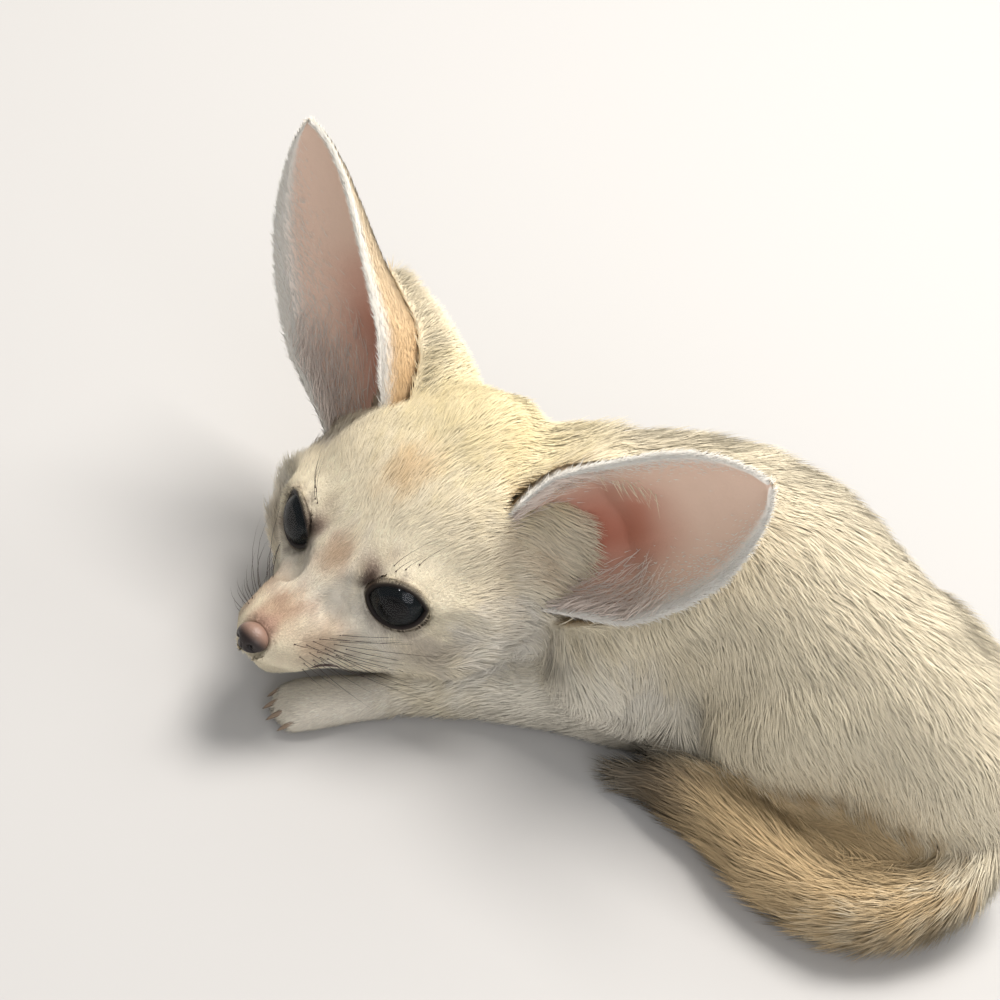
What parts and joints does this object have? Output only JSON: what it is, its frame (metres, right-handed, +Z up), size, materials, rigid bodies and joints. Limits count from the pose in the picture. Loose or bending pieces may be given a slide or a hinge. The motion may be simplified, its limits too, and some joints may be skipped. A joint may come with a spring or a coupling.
{
  "type": "fennec fox kit figure",
  "caption": "Life-size resting fennec fox kit with very large upright ears, chin on its forepaw, body curled to one side and bushy tail wrapped round in front.",
  "frame": {"origin": "on the floor, under the middle of the animal's box", "axes": "+X runs from the head to the rump, -Y is the side that the muzzle and the tail face, +Z is up"},
  "size_m": [0.1992, 0.1274, 0.0907],
  "materials": {
    "coat_cream": "soft dense fur",
    "coat_tan": "soft dense fur",
    "coat_dark": "soft dense fur",
    "nose": "damp bare skin",
    "eye": "wet gloss"
  },
  "bodies": {
    "root": {"head": "coat_cream", "lower_jaw": "coat_cream", "nose": "nose", "eye_left": "eye", "eye_right": "eye", "ear_left": "coat_cream", "ear_right": "coat_cream", "neck": "coat_cream", "chest": "coat_cream", "belly": "coat_cream", "thigh_left": "coat_cream", "thigh_right": "coat_cream", "shank_left": "coat_cream", "shank_right": "coat_cream", "hind_foot_left": "coat_cream", "hind_foot_right": "coat_cream", "forearm_left": "coat_cream", "forearm_right": "coat_cream", "forepaw_left": "coat_cream", "forepaw_right": "coat_cream", "tail_root": "coat_tan", "tail_middle": "coat_tan", "tail_tip": "coat_dark"}
  },
  "joints": []
}
